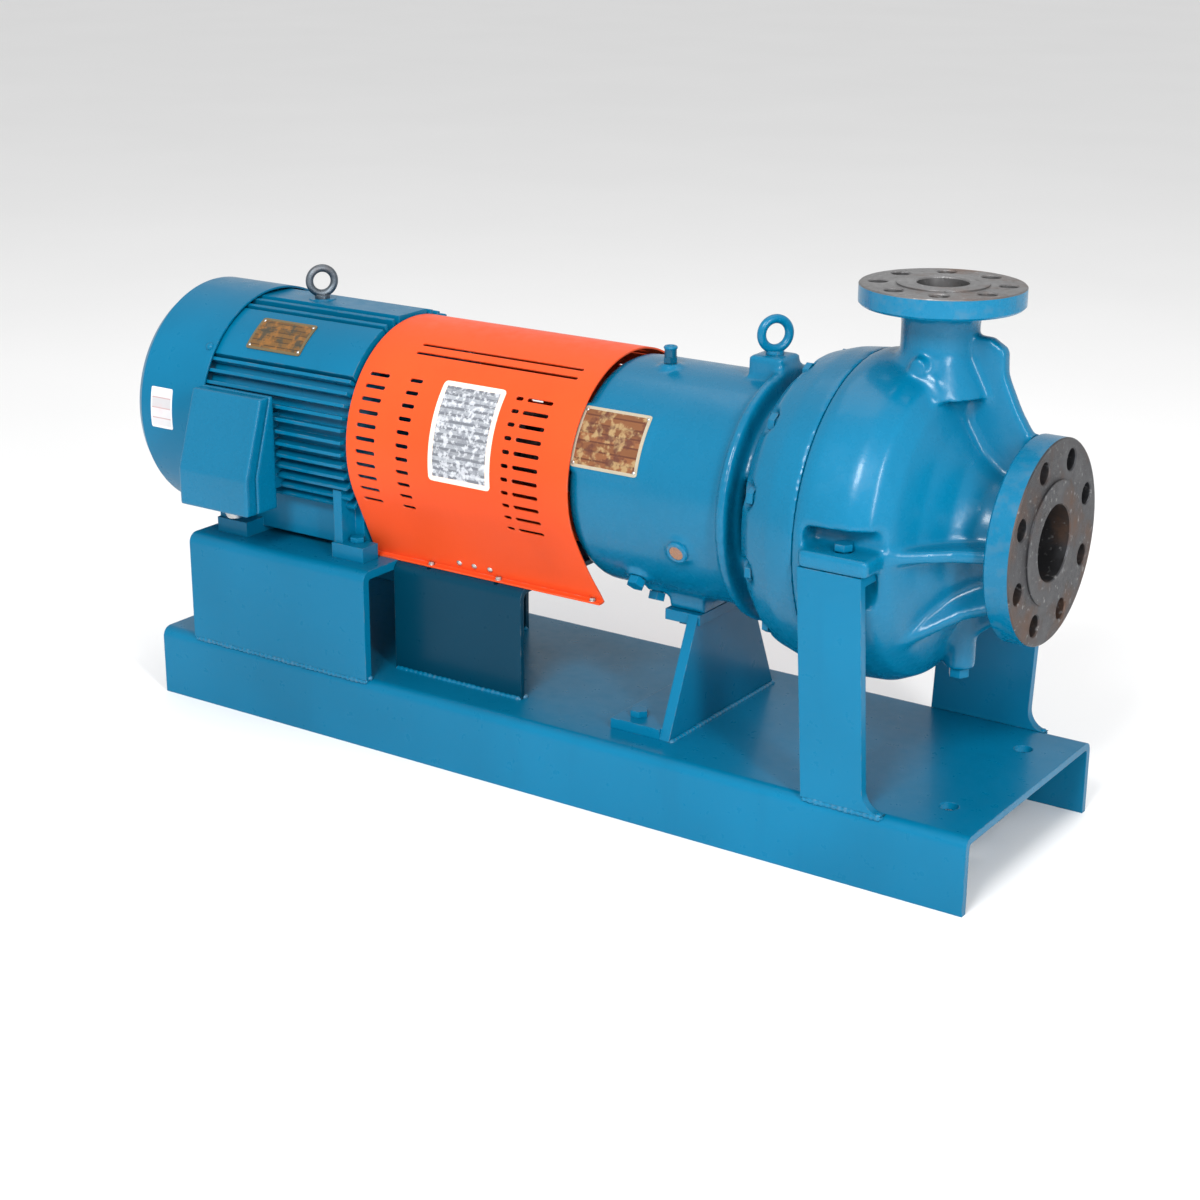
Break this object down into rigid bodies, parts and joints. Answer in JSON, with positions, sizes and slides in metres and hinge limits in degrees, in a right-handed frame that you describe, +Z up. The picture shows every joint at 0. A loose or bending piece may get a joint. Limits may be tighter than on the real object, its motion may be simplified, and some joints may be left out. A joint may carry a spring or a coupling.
{
  "type": "centrifugal water pump",
  "caption": "Horizontal end-suction centrifugal pump on a bent-plate base, with flanged suction and top discharge, guarded coupling and foot-mounted electric motor.",
  "frame": {"origin": "on the floor under the middle of the whole set", "axes": "+X along the shaft from the motor towards the suction flange, +Z up, -Y is the side with the conduit box"},
  "size_m": [1.123, 0.37, 0.59],
  "materials": {
    "blue_paint": "gloss enamel over cast iron and plate",
    "orange_paint": "gloss enamel over sheet",
    "steel": "machined",
    "bearing_steel": "ground",
    "iron": "as cast",
    "copper": "varnished winding",
    "plastic": "moulded",
    "rubber": "moulded",
    "gasket": "fibre sheet",
    "plate": "etched plate with no lettering",
    "glass": "clear"
  },
  "bodies": {
    "pump_set": {"baseplate": "blue_paint", "bearing_end_cover": "blue_paint", "bearing_frame": "blue_paint", "breather_cap": "steel", "casing": "blue_paint", "casing_bolts": "blue_paint", "casing_cover": "blue_paint", "casing_drain_plug": "steel", "casing_foot_bolts": "blue_paint", "casing_gasket": "gasket", "casing_leg_front": "blue_paint", "casing_leg_rear": "blue_paint", "conduit_box": "blue_paint", "conduit_cover": "blue_paint", "conduit_plug": "steel", "coupling_guard": "orange_paint", "end_cover_bolts": "steel", "fan_cover": "blue_paint", "frame_eyebolt": "steel", "frame_foot": "blue_paint", "frame_foot_bolts": "blue_paint", "frame_nameplate": "plate", "gland_studs": "steel", "guard_bolts": "steel", "guard_support": "blue_paint", "motor_bearing_outer_rings": "bearing_steel", "motor_bell_bolts": "blue_paint", "motor_eyebolt": "steel", "motor_foot_bolts": "blue_paint", "motor_frame": "blue_paint", "motor_front_bell": "blue_paint", "motor_nameplate": "plate", "motor_pedestal": "blue_paint", "motor_rear_bell": "blue_paint", "oil_plugs": "steel", "oil_seals": "rubber", "radial_bearing_outer": "bearing_steel", "seal_gland": "steel", "sight_glass": "glass", "stator_core": "steel", "stator_windings": "copper", "thrust_bearing_outer": "bearing_steel", "wear_ring": "iron"},
    "motor_rotor": {"motor_shaft": "steel", "motor_key": "steel", "motor_rotor_core": "steel", "motor_fan": "plastic", "motor_bearing_inner_rings": "bearing_steel", "motor_hub": "iron"},
    "pump_rotor": {"pump_shaft": "steel", "pump_key": "steel", "pump_hub": "iron", "coupling_spider": "rubber", "thrust_bearing_inner": "bearing_steel", "radial_bearing_inner": "bearing_steel", "bearing_locknut": "steel", "shaft_sleeve": "steel", "seal_rotary_head": "steel", "impeller": "iron", "impeller_nut": "steel"}
  },
  "joints": [
    {"name": "motor_spin", "type": "hinge", "parent": "pump_set", "child": "motor_rotor", "pos_m": [-0.3, 0, 0.346], "axis": [1, 0, 0], "continuous": true},
    {"name": "pump_spin", "type": "hinge", "parent": "pump_set", "child": "pump_rotor", "pos_m": [0.1, 0, 0.346], "axis": [1, 0, 0], "continuous": true}
  ],
  "couplings": [
    {"joint": "pump_spin", "follows": "motor_spin", "ratio": 1}
  ]
}
